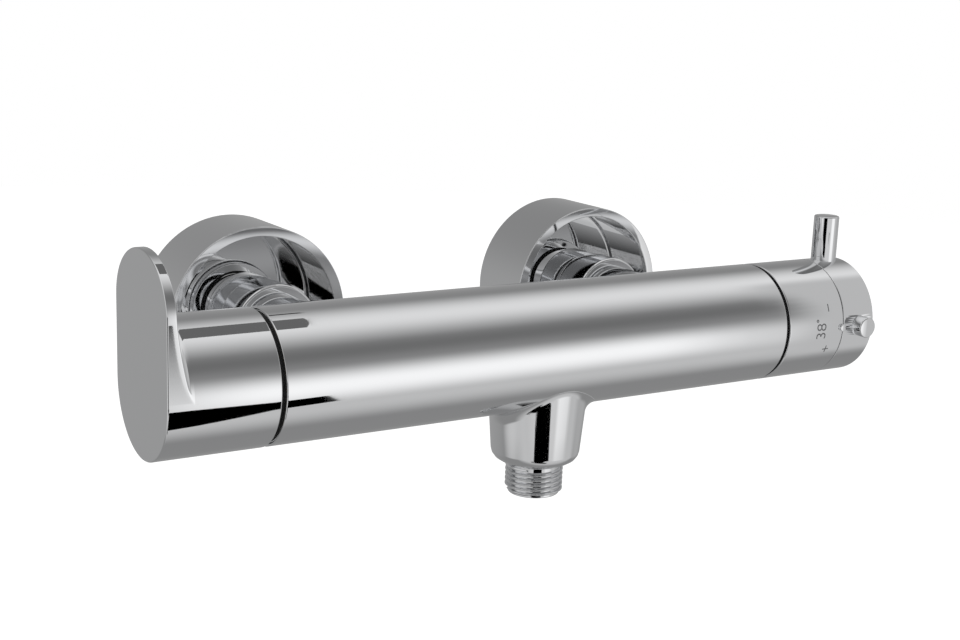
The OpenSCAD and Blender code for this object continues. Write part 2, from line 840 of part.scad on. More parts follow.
module cartridge_nut() {
    color(brass) on_right() difference() {
        union() {
            tube(-cart_nut_len, 0, cart_nut_r);
            translate([0, 0, -over]) cylinder(r = cart_hex_r, h = cart_hex_t + over, $fn = 6);
        }
        hole(cart_neck_r + slip, -cart_nut_len - over, cart_hex_t + over);
    }
}

// Sleeve that shuttles between the hot and the cold ports
module regulating_piston() {
    color(plastic) on_right() difference() {
        tube(piston_z, piston_z + piston_len, piston_bore_r - slip);
        hole(piston_bore_r - piston_wall, piston_z - over, web_z);
        hole(piston_bore_r - piston_wall, web_z + web_t, piston_z + piston_len + over);
        hole(wax_r + slip, web_z - over, web_z + web_t + over);
        for (i = [0:port_count - 1])
            rotate([0, 0, 360 * i / port_count])
                translate([(wax_r + piston_bore_r) / 2, 0, 0])
                    hole(web_hole_r, web_z - over, web_z + web_t + over);
    }
}

// Wax element: its push pin lengthens as the mixed water warms it
module wax_element() {
    flange_z = web_z + web_t;
    color(brass) on_right() {
        tube(flange_z - wax_len, flange_z, wax_r);
        tube(flange_z, flange_z + web_t, wax_flange_r);
        tube(flange_z + web_t, cup_z, push_r);
    }
}

push_r = 1.8;
return_wire = 0.7;

module return_spring() {
    color(steel) on_right()
        coil(piston_bore_r - piston_wall - return_wire - 2 * gap, return_wire,
            cart_floor_z + fit, web_z - fit, 3);
}

module overload_cup() {
    color(brass) on_right() difference() {
        tube(cup_z, cup_z + cup_len, cup_r);
        hole(cup_r - cup_wall, cup_floor_z, cup_z + cup_len + over);
    }
}

overload_wire = 0.6;
overload_clear = 1;

module overload_spring() {
    color(steel) on_right()
        coil(cup_r - cup_wall - overload_wire - gap, overload_wire,
            cup_floor_z + fit, spindle_disc_z - overload_clear, 3);
}

temp_groove_z = -cart_nut_len / 2;

module temperature_spindle() {
    color(brass) on_right() difference() {
        union() {
            tube(spindle_disc_z, spindle_disc_z + spindle_disc_t, cup_r - cup_wall - slip);
            tube(spindle_disc_z, hub_top_z - spindle_short, temp_spindle_r);
        }
        tube(temp_groove_z - small_ring_d / 2, temp_groove_z + small_ring_d / 2,
            bar_r, temp_spindle_r - small_groove);
        spline_cuts(temp_spindle_r, hub_z + spline_from, hub_top_z - spindle_short);
    }
}

module temperature_spindle_seal() {
    color(rubber) on_right() o_ring(temp_groove_z, temp_spindle_r - small_groove, small_ring_d);
}

// Splined hub that carries the cap
module temperature_hub() {
    color(plastic) on_right() difference() {
        union() {
            tube(hub_z, hub_top_z, adaptor_r);
            tube(cap_z, cap_boss_z, hub_boss_r);
        }
        hole(temp_spindle_r + slip, hub_z - over, hub_top_z - spindle_short);
    }
}

// Plastic ring with the tooth that marks the 38 degree stop
module temperature_stop_ring() {
    color("firebrick") on_right() {
        tube(stop_ring_z, stop_ring_z + stop_t, pocket_r - gap, adaptor_r + 2 * gap);
        sector(stop_ring_z, stop_top_z, carrier_bore_r, pocket_r - 2 * gap,
            tooth_turn, tooth_angle);
    }
}

module temperature_cap() {
    color(chrome) on_right() difference() {
        turned([
            [0, cap_z], [bar_r - skin_chamfer / 2, cap_z], [bar_r, cap_z + skin_chamfer / 2],
            [bar_r, cap_end_z - skin_chamfer], [bar_r - skin_chamfer, cap_end_z],
            [0, cap_end_z]]);
        difference() {
            hole(pocket_r, cap_z - over, cap_end_z - cap_end_t);
            hole(hub_boss_r, cap_boss_z, cap_end_z);
        }
        hole(adaptor_r + fit, cap_z - over, hub_top_z + gap);
        radial(pin_z, 180) {
            hole(pin_r + fit, bar_r - pin_seat, bar_r + over);
            hole(pin_stud_r + fit, hub_boss_r + over, bar_r + over);
        }
        radial(pin_z, -90) hole(button_r + slip, hub_boss_r + over, bar_r + over);
        radial(cap_grub_z, 90) hole(cap_grub_r + fit, adaptor_r, bar_r + over);
        rotate([0, 0, -90]) translate([dot_base_r - dot_tab_deep, -dot_r / 2 - fit, cap_z - over])
            cube([dot_tab_deep + over, dot_r + 2 * fit, dot_key + over + fit]);
    }
}

// Lever on top of the cap, screwed in with its stud
module pin_lever() {
    seat = bar_r - pin_seat;
    color(chrome) on_right() radial(pin_z, 180) turned(concat(
        [[0, seat - pin_stud_len], [pin_stud_r, seat - pin_stud_len], [pin_stud_r, seat],
         [pin_r, seat]],
        arc(pin_r - pin_round, pin_top - pin_round, pin_round, 0, 90, 4),
        [[0, pin_top]]));
}

// Small round mark on the cap's edge that points at the scale
dot_base_r = bar_r + gap;
dot_key = dot_r - dot_over - gap;
dot_tab_deep = 1;

module index_dot() {
    color(chrome) on_right() {
        radial(cap_z - dot_over, -90) hole(dot_r, dot_base_r, dot_base_r + dot_t);
        rotate([0, 0, -90]) translate([dot_base_r - dot_tab_deep + fit, -dot_r / 2, cap_z + fit])
            cube([dot_tab_deep, dot_r, dot_key - fit]);
    }
}

// Button that lets the cap pass 38 degrees, with its flange, spring peg and tail
module stop_button() {
    color(chrome) on_right() radial(pin_z, -90) {
        hole(button_r, button_flange_low, button_top);
        hole(button_flange_r, button_flange_low, button_flange_top);
        hole(button_peg_r, button_flange_low - button_peg_len, button_flange_top);
        translate([0, -tail_w / 2, button_flange_low])
            cube([pin_z - stop_top_z - gap, tail_w, button_flange_t]);
    }
}

button_peg_r = 1.5;
button_wire = 0.3;

module button_spring() {
    color(steel) on_right() radial(pin_z, -90)
        coil(button_peg_r + button_wire + gap, button_wire,
            hub_boss_r + fit, button_flange_low - fit, 3);
}

module cap_grub_screw() {
    color(steel) on_right() radial(cap_grub_z, 90) grub(cap_grub_r, grub_len);
}

// Flanged nipple screwed into the neck: its flange holds the union nut
module inlet_nipple(side) {
    cage_seat_z = cage_z - gap;
    color(brass) on_inlet(side) difference() {
        turned([
            [0, neck_end - nipple_root + gap], [nipple_r, neck_end - nipple_root + gap],
            [nipple_r, nipple_flange_z], [union_r - 2 * slip, nipple_flange_z],
            [union_r - 2 * slip, washer_z], [0, washer_z]]);
        hole(cage_r + slip, cage_seat_z, washer_z + over);
        hole(cage_r - cage_wall, neck_end - nipple_root, washer_z);
    }
}

module union_nut(side) {
    color(chrome) on_inlet(side) difference() {
        turned([
            [0, nut_z], [nut_r - nut_chamfer, nut_z], [nut_r, nut_z + nut_chamfer],
            [nut_back_r, nut_back_z - skin_chamfer], [nut_back_r - skin_chamfer, nut_back_z],
            [0, nut_back_z]]);
        hole(nipple_r + slip, nut_z - over, nut_back_z + over);
        hole(union_r + slip, nut_z + nut_lip, nut_back_z + over);
    }
}

module union_washer(side) {
    color(rubber) on_inlet(side) tube(washer_z, union_z, union_r - slip, strainer_r + slip);
}

// Hat-shaped strainer in the mouth of the wall union
strainer_r = 6.4;
strainer_wall = 0.5;
strainer_short = 1;
strainer_hole_r = 1;
strainer_side_r = 2;

module strainer(side) {
    top_z = union_z + strainer_deep - strainer_short;
    color(steel) on_inlet(side) difference() {
        union() {
            tube(union_z, union_z + strainer_wall, nipple_bore_r - slip);
            tube(union_z, top_z, strainer_r);
        }
        hole(strainer_r - strainer_wall, union_z - over, top_z - strainer_wall);
        for (i = [0:port_count - 1]) {
            rotate([0, 0, 360 * i / port_count]) translate([strainer_r / 2, 0, 0])
                hole(strainer_hole_r, union_z, top_z + over);
            radial((union_z + top_z) / 2, 360 * i / port_count)
                hole(strainer_side_r, strainer_r - over, bar_r);
        }
    }
}

// Cage of the check valve: a seat at the wall end and a spider that guides the stem
module check_cage(side) {
    end_z = cage_z + cage_len;
    color(plastic) on_inlet(side) difference() {
        tube(cage_z, end_z, cage_r);
        hole(cage_r - cage_wall, cage_z + cage_end_t, end_z - cage_end_t);
        hole(poppet_r - cage_seat_lip, end_z - cage_end_t - over, end_z + over);
        hole(stem_r + slip, cage_z - over, end_z);
        for (i = [0:port_count - 1])
            rotate([0, 0, 360 * i / port_count]) translate([(stem_r + cage_r) / 2, 0, 0])
                hole(cage_hole_r, cage_z - over, cage_z + cage_end_t + over);
    }
}

poppet_z = cage_z + cage_len - cage_end_t - fit - poppet_t;

module check_poppet(side) {
    color("white") on_inlet(side) {
        tube(poppet_z, poppet_z + poppet_t, poppet_r);
        tube(cage_z + stem_short, poppet_z, stem_r);
    }
}

module check_spring(side) {
    color(steel) on_inlet(side)
        coil(stem_r + check_wire + 2 * gap, check_wire,
            cage_z + cage_end_t + fit, poppet_z - fit, 5);
}

// Union between the wall outlet and the nut
module wall_union(side) {
    color(chrome) on_inlet(side) difference() {
        turned(concat(
            [[0, union_z], [union_r - skin_chamfer, union_z], [union_r, union_z + skin_chamfer],
             [union_r, shoulder_z], [shoulder_r, shoulder_z], [shoulder_r, line_z],
             [shoulder_r - line_deep, line_z], [shoulder_r - line_deep, taper_z],
             [shoulder_r, taper_z], [tail_r, tail_z], [tail_r, tail_end_z]],
            thread_outline(tail_end_z, wall_thread + tail_back),
            [[0, axis_to_wall + wall_thread]]));
        hole(union_bore_r, union_z - over, axis_to_wall + wall_thread + over);
        hole(nipple_bore_r, union_z - over, union_z + strainer_deep);
    }
}

// Deep round cup that hides the pipe, with a collar round the tail
module escutcheon(side) {
    wall_r = rose_r - rose_wall;
    color(chrome) on_inlet(side) turned(concat(
        [[tail_r + gap, axis_to_wall], [rose_r, axis_to_wall]],
        arc(rose_r - rose_round, rose_z + rose_round, rose_round, 0, -90, 4),
        arc(wall_r + rose_round, rose_z + rose_round, rose_round, -90, -180, 4),
        [[wall_r, floor_z], [collar_r, floor_z], [collar_r, floor_z - collar_h + skin_chamfer],
         [collar_r - skin_chamfer, floor_z - collar_h], [collar_r - collar_wall, floor_z - collar_h],
         [collar_r - collar_wall, floor_z], [tail_r + gap, floor_z]]));
}

module escutcheon_seal(side) {
    color(rubber) on_inlet(side)
        tube(floor_z - collar_h + seal_sink, floor_z, collar_r - collar_wall - fit, tail_r + slip);
}

body_casting();
outlet_nipple();
flow_shadow_ring();
headwork_body();
seat_seal();
fixed_disc();
moving_disc();
flow_spindle();
spindle_o_rings();
spindle_circlip();
handle_stop_ring();
handle_adaptor();
flow_handle();
handle_grub_screw();
temperature_shadow_ring();
ring_carrier();
scale_ring();
cartridge_housing();
cartridge_o_rings();
cartridge_nut();
regulating_piston();
wax_element();
return_spring();
overload_cup();
overload_spring();
temperature_spindle();
temperature_spindle_seal();
temperature_hub();
temperature_stop_ring();
temperature_cap();
pin_lever();
index_dot();
stop_button();
button_spring();
cap_grub_screw();
inlet_nipple(left);  // inlet_nipple_left
union_nut(left);  // union_nut_left
union_washer(left);  // union_washer_left
strainer(left);  // strainer_left
check_cage(left);  // check_cage_left
check_poppet(left);  // check_poppet_left
check_spring(left);  // check_spring_left
wall_union(left);  // wall_union_left
escutcheon(left);  // escutcheon_left
escutcheon_seal(left);  // escutcheon_seal_left
inlet_nipple(right);  // inlet_nipple_right
union_nut(right);  // union_nut_right
union_washer(right);  // union_washer_right
strainer(right);  // strainer_right
check_cage(right);  // check_cage_right
check_poppet(right);  // check_poppet_right
check_spring(right);  // check_spring_right
wall_union(right);  // wall_union_right
escutcheon(right);  // escutcheon_right
escutcheon_seal(right);  // escutcheon_seal_right
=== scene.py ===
import json
import math

import bmesh
import bpy
from mathutils import Matrix, Vector


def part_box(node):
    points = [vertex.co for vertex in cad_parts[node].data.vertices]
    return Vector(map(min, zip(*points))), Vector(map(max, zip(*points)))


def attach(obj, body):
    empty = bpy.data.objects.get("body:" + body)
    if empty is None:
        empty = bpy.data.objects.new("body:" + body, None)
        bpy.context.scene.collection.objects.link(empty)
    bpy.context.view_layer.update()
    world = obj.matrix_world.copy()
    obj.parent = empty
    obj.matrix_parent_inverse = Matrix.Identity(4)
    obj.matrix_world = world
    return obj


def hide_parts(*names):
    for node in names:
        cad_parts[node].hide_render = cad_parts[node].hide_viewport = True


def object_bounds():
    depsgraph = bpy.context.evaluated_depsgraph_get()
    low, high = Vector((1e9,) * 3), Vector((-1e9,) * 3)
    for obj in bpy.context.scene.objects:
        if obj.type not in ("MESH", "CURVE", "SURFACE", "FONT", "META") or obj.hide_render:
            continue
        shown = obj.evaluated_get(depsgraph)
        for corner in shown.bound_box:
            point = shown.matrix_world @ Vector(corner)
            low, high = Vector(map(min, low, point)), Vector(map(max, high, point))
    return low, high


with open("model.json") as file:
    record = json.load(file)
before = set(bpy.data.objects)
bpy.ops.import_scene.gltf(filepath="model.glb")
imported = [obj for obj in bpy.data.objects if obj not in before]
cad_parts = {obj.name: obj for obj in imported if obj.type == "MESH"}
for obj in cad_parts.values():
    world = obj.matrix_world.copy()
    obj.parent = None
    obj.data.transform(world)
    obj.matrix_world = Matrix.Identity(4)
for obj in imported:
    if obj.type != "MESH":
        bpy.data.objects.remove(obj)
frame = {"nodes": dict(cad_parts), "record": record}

cad_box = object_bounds()
mm = 0.001


def span(node):
    """The lowest and the highest corner of a CAD node, in millimetres"""
    return [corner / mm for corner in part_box(node)]


# The photograph's camera: a long lens from the front left and a little above, with the frame
# rolled about two degrees. All places are in the row frame, so nothing is shifted or scaled.
camera_place = Vector((-299.9, -540.0, 126.5)) * mm
camera_azimuth, camera_tilt, camera_roll = (math.radians(a) for a in (32.263, 12.633, 2.201))
lens_length = 57.015
sight = Vector((math.sin(camera_azimuth) * math.cos(camera_tilt),
                math.cos(camera_azimuth) * math.cos(camera_tilt), -math.sin(camera_tilt)))
level = Vector((math.cos(camera_azimuth), -math.sin(camera_azimuth), 0))
upright = level.cross(sight)
camera_right = math.cos(camera_roll) * level + math.sin(camera_roll) * upright
camera_up = math.cos(camera_roll) * upright - math.sin(camera_roll) * level
camera = bpy.data.objects.new("camera", bpy.data.cameras.new("camera"))
camera.data.lens = lens_length
camera.data.sensor_width = 36
camera.data.sensor_fit = "HORIZONTAL"
camera.data.clip_start = 0.01
camera.matrix_world = Matrix.Translation(camera_place) @ Matrix(
    (camera_right, camera_up, -sight)).transposed().to_4x4()
bpy.context.collection.objects.link(camera)
bpy.context.scene.camera = camera
bpy.context.scene.view_settings.view_transform = "Standard"


# The light tent: chrome has no colour of its own, so what the valve shows is the tent round it.
# A white table edge glows low in front, a softbox hangs overhead, the front above the lens is
# dim, and each end has its own even light. Only reflections see it. Sums of Tones add nodes.
class Tone:
    def __init__(self, tree, socket=None):
        self.tree = tree
        self.socket = socket

    def node(self, kind, settings=None, sockets=None, output=0):
        made = self.tree.nodes.new(kind)
        for name, value in (settings or {}).items():
            setattr(made, name, value)
        for name, value in (sockets or {}).items():
            if isinstance(value, Tone):
                self.tree.links.new(value.socket, made.inputs[name])
            else:
                made.inputs[name].default_value = value
        return Tone(self.tree, made.outputs[output] if made.outputs else None)

    def math(self, operation, *values):
        return self.node("ShaderNodeMath", {"operation": operation}, dict(enumerate(values)))

    def __add__(self, other):
        return self.math("ADD", self, other)

    def __sub__(self, other):
        return self.math("SUBTRACT", self, other)

    def __rsub__(self, other):
        return self.math("SUBTRACT", other, self)

    def __mul__(self, other):
        return self.math("MULTIPLY", self, other)

    def __truediv__(self, other):
        return self.math("DIVIDE", self, other)

    __radd__ = __add__
    __rmul__ = __mul__

    def part(self, name):
        return self.node("ShaderNodeSeparateXYZ", None, {"Vector": self}, name)


def new_material(name):
    material = bpy.data.materials.new(name)
    material.use_nodes = True
    material.node_tree.nodes.clear()
    return material, Tone(material.node_tree)


def add_object(name, bm, material):
    """Makes an object of a mesh that was drawn in millimetres"""
    mesh = bpy.data.meshes.new(name)
    bmesh.ops.scale(bm, verts=bm.verts, vec=(mm, mm, mm))
    bm.to_mesh(mesh)
    bm.free()
    mesh.materials.append(material)
    piece = bpy.data.objects.new(name, mesh)
    bpy.context.collection.objects.link(piece)
    return piece


def reflection_only(piece):
    for ray in ("camera", "diffuse", "transmission", "volume_scatter", "shadow"):
        setattr(piece, "visible_" + ray, False)


ring_low, ring_high = span("scale_ring")
bar_r = -ring_low.z
bar_y = (ring_low.y + ring_high.y) / 2
tent_r = 1500
base_light = 0.26
# Each glow: the angle round the bar where it is brightest, from the front upwards, how far it
# spreads to each side, and its strength. The first is the table edge, dimmer at both its ends.
glows = ((-11, 34, 0.80), (-48, 38, 0.31), (95, 45, 0.54), (40, 22, -0.09), (-170, 50, 0.09))
# Zones run along the bar, as shares of the tent's radius. The right light also has its arc.
table_glow_left, table_left_zone = 0.5, (0.16, 0.31)
table_glow_fade, table_right_zone = 0.45, (0.58, 0.67)
right_light, right_zone = 0.54, (0.665, 0.70)
right_arc_middle, right_arc = 12, (66, 86)
right_end_light, right_end_zone = 0.42, (0.80, 0.93)
left_end_light, left_end_zone = 0.62, (0.76, 0.92)
tent_material, tone = new_material("tent_light")
place = tone.node("ShaderNodeTexCoord", output="Object")
along, depth, height = (place.part(axis) / (tent_r * mm) for axis in "XYZ")


def rise(value, start, end):
    """0 up to the start, 1 from the end on, and a smooth step between them"""
    return tone.node("ShaderNodeMapRange", {"interpolation_type": "SMOOTHSTEP"}, {
        "Value": value, "From Min": start, "From Max": end})


angle = tone.math("ARCTAN2", height, bar_y / tent_r - depth) * math.degrees(1)
light = base_light
for centre, spread, strength in glows:
    off = tone.math("WRAP", angle - centre, 180, -180) / spread
    bump = tone.math("MAXIMUM", 1 - off * off, 0)
    glow = bump * bump * strength
    if centre == glows[0][0]:
        glow = glow * (table_glow_left + (1 - table_glow_left) * rise(along, *table_left_zone))
        glow = glow * (1 - table_glow_fade * rise(along, *table_right_zone))
    light = light + glow
off_arc = rise(tone.math("ABSOLUTE", angle - right_arc_middle), *right_arc)
light = light + rise(along, *right_zone) * (1 - off_arc) * (right_light - light)
light = light + rise(along, *right_end_zone) * (right_end_light - light)
light = light + rise(0 - along, *left_end_zone) * (left_end_light - light)
glow = tone.node("ShaderNodeEmission", None, {"Strength": light})
tone.node("ShaderNodeOutputMaterial", None, {"Surface": glow})
tent_material.cycles.emission_sampling = "NONE"
bm = bmesh.new()
bmesh.ops.create_uvsphere(bm, u_segments=64, v_segments=32, radius=tent_r)
reflection_only(add_object("tent", bm, tent_material))


# Cards in the tent: they draw the crisp edges on the handle, the outlet and the lever, and shade
# the insides of the cups. Each is flat, and has its corners, in millimetres, its light with the
# slopes of that light along and up, and whether a first reflection sees it or only later ones.
first_bounce = 1.5
black = (0, 0, 0)
cards = {
    "low_flag": (((-119, -285, -71), (-73, -285, -78), (-34, -285, -90), (-10, -285, -87),
                  (8, -285, -135), (-20, -285, -148), (-38, -285, -223), (-64, -285, -259),
                  (-85, -285, -290), (-119, -285, -290)), black, "first"),
    "stem_flag": (((-230, -420, -100), (-75, -420, -100), (-75, -420, -330), (30, -420, -370),
                   (30, -420, -480), (-300, -420, -540), (-300, -420, -350), (-230, -420, -330)),
                  black, "first"),
    "lever_flag": (((-1180, -700, 0), (-280, -700, 0), (-280, -700, -330), (-1180, -700, -330)),
                   black, "first"),
    "lever_light": (((-800, -330, -215), (-800, -130, -215), (-800, -130, -90), (-800, -330, -90)),
                    (0.9, 0, 0), "first"),
    "flank_card": (((20, -700, -178), (84, -700, -178), (76, -700, -150), (66, -700, -105),
                    (20, -700, -105)), (-1.13, 0, -0.0107), "first"),
    "overhead_flag": (((-120, 2, 290), (38, 2, 290), (28, -110, 290), (-120, -110, 290)),
                      (0.14, 0, 0), "first"),
    "overhead_line": (((38, 92, 290), (60, 92, 290), (62, 112, 290), (40, 112, 290)),
                      (0.02, 0, 0), "first"),
    "cup_flag": (((-330, -420, -120), (120, -420, -120), (120, -420, -620), (-330, -420, -620)),
                 (0.16, 0.0014, 0), "later"),
}
for name, (corners, (even_light, along_slope, up_slope), shows) in cards.items():
    card_material, tone = new_material(name + "_card")
    place = tone.node("ShaderNodeTexCoord", output="Object")
    slopes = place.part("X") * (along_slope / mm) + place.part("Z") * (up_slope / mm)
    shade = tone.node("ShaderNodeEmission", None, {
        "Strength": tone.math("MAXIMUM", slopes + even_light, 0)})
    clear = tone.node("ShaderNodeBsdfTransparent")
    bounces = tone.node("ShaderNodeLightPath", output="Ray Depth")
    later = tone.math("GREATER_THAN", bounces, first_bounce)
    first_look, later_look = (shade, clear) if shows == "first" else (clear, shade)
    card = tone.node("ShaderNodeMixShader", None, {0: later, 1: first_look, 2: later_look})
    tone.node("ShaderNodeOutputMaterial", None, {"Surface": card})
    bm = bmesh.new()
    bm.faces.new([bm.verts.new(corner) for corner in corners])
    reflection_only(add_object(name, bm, card_material))


# White room: the world is white to the camera, to metal and to glass, and a little dimmer on
# the matt pieces, where a broad lamp from the upper left gives the rest. The floor is white
# board far below the valve, which hangs on a wall in use, and it is clear from its underside.
room_light = 0.65
world = bpy.data.worlds.new("room")
bpy.context.scene.world = world
world.use_nodes = True
world.node_tree.nodes.clear()
tone = Tone(world.node_tree)
looks = [tone.node("ShaderNodeLightPath", output="Is %s Ray" % kind)
         for kind in ("Camera", "Glossy", "Transmission")]
seen = tone.math("MAXIMUM", tone.math("MAXIMUM", looks[0], looks[1]), looks[2])
sky = tone.node("ShaderNodeBackground", None, {
    "Color": (1, 1, 1, 1), "Strength": room_light + seen * (1 - room_light)})
tone.node("ShaderNodeOutputWorld", None, {"Surface": sky})

lamp = bpy.data.objects.new("key_lamp", bpy.data.lights.new("key_lamp", "AREA"))
lamp.data.shape = "RECTANGLE"
lamp.data.size = 0.9
lamp.data.size_y = 0.6
lamp.data.energy = 7
lamp.location = (-0.7, -1.0, 1.1)
lamp_aim = Vector((0, bar_y * mm, 0)) - lamp.location
lamp.rotation_euler = lamp_aim.to_track_quat("-Z", "Y").to_euler()
lamp.visible_glossy = False
bpy.context.collection.objects.link(lamp)

floor_drop = 320
floor_z = cad_box[0].z / mm - floor_drop
floor_r = 3000
floor_glow = 0.47
board_white = (0.92, 0.92, 0.92, 1)
floor_material, tone = new_material("white_board")
board_glow = tone.node("ShaderNodeLightPath", output="Is Camera Ray") * floor_glow
board = tone.node("ShaderNodeBsdfPrincipled", None, {
    "Base Color": board_white, "Roughness": 0.9, "Emission Color": (1, 1, 1, 1),
    "Emission Strength": board_glow})
underside = tone.node("ShaderNodeNewGeometry", output="Backfacing")
clear = tone.node("ShaderNodeBsdfTransparent")
board = tone.node("ShaderNodeMixShader", None, {0: underside, 1: board, 2: clear})
tone.node("ShaderNodeOutputMaterial", None, {"Surface": board})
bm = bmesh.new()
bmesh.ops.create_circle(bm, cap_ends=True, segments=96, radius=floor_r)
bmesh.ops.recalc_face_normals(bm, faces=bm.faces)
bmesh.ops.translate(bm, verts=bm.verts, vec=(0, 0, floor_z))
floor = add_object("floor", bm, floor_material)
floor.visible_glossy = False


# Body casting: one brass casting, turned, polished and chrome plated. It is the round bar, the
# two inlet necks behind it and the outlet boss below it, each run into the bar with a fillet.
# The polish leaves it faintly wavy and soft, but for a narrow end beside the handle's groove.
chrome_tint = (0.85, 0.855, 0.865, 1)
haze_scale, wave_scale = 45, 60
haze_low, haze_span = 0.7, 0.6
buffed_edge = 0.5


def chrome(name, roughness, waviness, buffed_end=None):
    """Bright chrome plate: a mirror with slight wipe haze and the waves of the metal below"""
    material, tone = new_material(name)
    place = tone.node("ShaderNodeTexCoord", output="Object")
    haze = tone.node("ShaderNodeTexNoise", None, {
        "Vector": place, "Scale": haze_scale, "Detail": 5})
    waves = tone.node("ShaderNodeTexNoise", None, {
        "Vector": place, "Scale": wave_scale, "Detail": 1})
    relief = tone.node("ShaderNodeBump", None, {
        "Strength": 1.0, "Distance": waviness * mm, "Height": waves})
    if buffed_end:
        roughness = tone.node("ShaderNodeMapRange", None, {
            "Value": place.part("X"), "From Min": (buffed_end - buffed_edge) * mm,
            "From Max": (buffed_end + buffed_edge) * mm,
            "To Min": end_roughness, "To Max": roughness})
    plate = tone.node("ShaderNodeBsdfPrincipled", None, {
        "Base Color": chrome_tint, "Metallic": 1.0,
        "Roughness": roughness * (haze_low + haze_span * haze), "Normal": relief})
    tone.node("ShaderNodeOutputMaterial", None, {"Surface": plate})
    return material


def draw_outline(bm, outline, base, along):
    """Joins (place along the axis, radius, rounding) by lines, and rounds the corners"""
    out = along.orthogonal().normalized()
    corners = {}
    verts = []
    for place, radius, rounding in outline:
        verts.append(bm.verts.new(base + along * place + out * radius))
        corners.setdefault(rounding, []).append(verts[-1])
    for pair in zip(verts, verts[1:]):
        bm.edges.new(pair)
    if outline[0][1] and outline[-1][1]:
        bm.edges.new((verts[-1], verts[0]))
    for rounding in filter(None, corners):
        bmesh.ops.bevel(bm, geom=corners[rounding], offset=rounding, segments=4, profile=0.5,
                        affect="VERTICES", material=-1)
    return verts[0]


turn_steps = 192
weld_gap = 0.0005


def turn(bm, base, along):
    """Turns what is drawn so far into a closed solid round the axis"""
    bmesh.ops.spin(bm, geom=bm.verts[:] + bm.edges[:], axis=along, cent=base,
                   angle=math.tau, steps=turn_steps, use_merge=True)
    bmesh.ops.remove_doubles(bm, verts=bm.verts, dist=weld_gap)
    bmesh.ops.recalc_face_normals(bm, faces=bm.faces)


def turned(outline, base, along):
    bm = bmesh.new()
    draw_outline(bm, outline, base, along)
    turn(bm, base, along)
    return bm


def metal_piece(name, bm, material, body, slot, *nodes, holes=()):
    """A finished metal piece: drilled, smooth, with its flats kept flat, and on its body"""
    piece = add_object(name, bm, material)
    for hole in holes:
        drill(piece, *hole)
    piece.data.shade_smooth()
    piece.modifiers.new("even_shading", "WEIGHTED_NORMAL").keep_sharp = True
    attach(piece, body)
    if nodes:
        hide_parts(*nodes)
    return piece


east, back, up = Vector((1, 0, 0)), Vector((0, 1, 0)), Vector((0, 0, 1))
centre = Vector((0, bar_y, 0))
buffed_end = -96.5
end_roughness = 0.02
body_chrome = chrome("body_chrome", 0.06, 0.02, buffed_end)
casting_low, casting_high = span("body_casting")
spot_face = 0.45
sleeve_r = 17.3
bar = turned([(casting_low.x, bar_r, spot_face), (casting_high.x, bar_r, spot_face),
              (casting_high.x, sleeve_r, 0), (casting_low.x, sleeve_r, 0)], centre, east)
metal_piece("bar", bar, body_chrome, "valve_body", "chrome", "body_casting")

fillet_r = 5
fillet_steps = 12
sunk = 1
skirt_step = 0.1
settling_rounds = 6


def boss(outline, base, along, root_r, draft):
    """A turned boss, narrowing by its draft, that runs into the bar in a rolled fillet"""
    bm = bmesh.new()
    row = bm.verts.layers.float.new("fillet_row")
    last = draw_outline(bm, outline, base, along)
    out = along.orthogonal().normalized()
    for step in range(fillet_steps + 2):
        vert = bm.verts.new(base + out * (root_r + sunk + skirt_step * step)
                            + along * (outline[0][0] - sunk))
        vert[row] = step + 1
        bm.edges.new((last, vert))
        last = vert
    turn(bm, base, along)
    ball_r = bar_r + fillet_r
    slope = math.tan(math.radians(draft))
    lean, climb = math.cos(math.radians(draft)), math.sin(math.radians(draft))
    aside = along.cross(east)
    for vert in bm.verts:
        if not vert[row]:
            continue
        around = vert.co - base
        around -= along * around.dot(along)
        around.normalize()
        height = ball_r
        for _ in range(settling_rounds):
            reach = root_r - (height - fillet_r * climb - bar_r) * slope + fillet_r * lean
            height = math.sqrt(ball_r ** 2 - (reach * around.dot(aside)) ** 2)
        ball = around * reach + along * height
        to_boss = -(around * lean + along * climb)
        to_bar = -(ball - east * ball.dot(east)).normalized()
        share = (vert[row] - 1) / fillet_steps
        if share <= 1:
            vert.co = base + ball + to_boss.slerp(to_bar, share) * fillet_r
        else:
            vert.co = base + ball + to_bar * (fillet_r + sunk)
    bmesh.ops.edgeloop_fill(bm, edges=[edge for edge in bm.edges if edge.is_boundary])
    bmesh.ops.recalc_face_normals(bm, faces=bm.faces)
    return bm


boss_start = 29
neck_r = 13.2
neck_end = 58.5
neck_rounding = 0.6
nipple_r = 11.25
nipple_root = 18
inlet_x = (span("union_nut_left")[0].x + span("union_nut_left")[1].x) / 2
inlets = {"left": Vector((inlet_x, bar_y, 0)), "right": Vector((-inlet_x, bar_y, 0))}
for side, base in inlets.items():
    neck = boss([(boss_start, neck_r, 0), (neck_end, neck_r, neck_rounding),
                 (neck_end, nipple_r, 0), (neck_end - nipple_root, nipple_r, 0),
                 (neck_end - nipple_root, 0, 0)], base, back, neck_r, 0)
    metal_piece("neck_" + side, neck, body_chrome, "valve_body", "chrome", "body_casting")

boss_top_r = 17.4
boss_draft = 4.76
boss_end = -casting_low.z
boss_low_r = 15.77
boss_rounding = 4
nipple_seat_r, nipple_seat_depth = 9.95, 11.3
hose_way_r = 7
boss_start_r = boss_top_r - (boss_start - bar_r) * math.tan(math.radians(boss_draft))
outlet_boss = boss([(boss_start, boss_start_r, 0), (boss_end, boss_low_r, boss_rounding),
                    (boss_end, nipple_seat_r, 0), (boss_end - nipple_seat_depth, nipple_seat_r, 0),
                    (boss_end - nipple_seat_depth, 0, 0)],
                   centre, -up, boss_top_r, boss_draft)
metal_piece("outlet_boss", outlet_boss, body_chrome, "valve_body", "chrome", "body_casting")


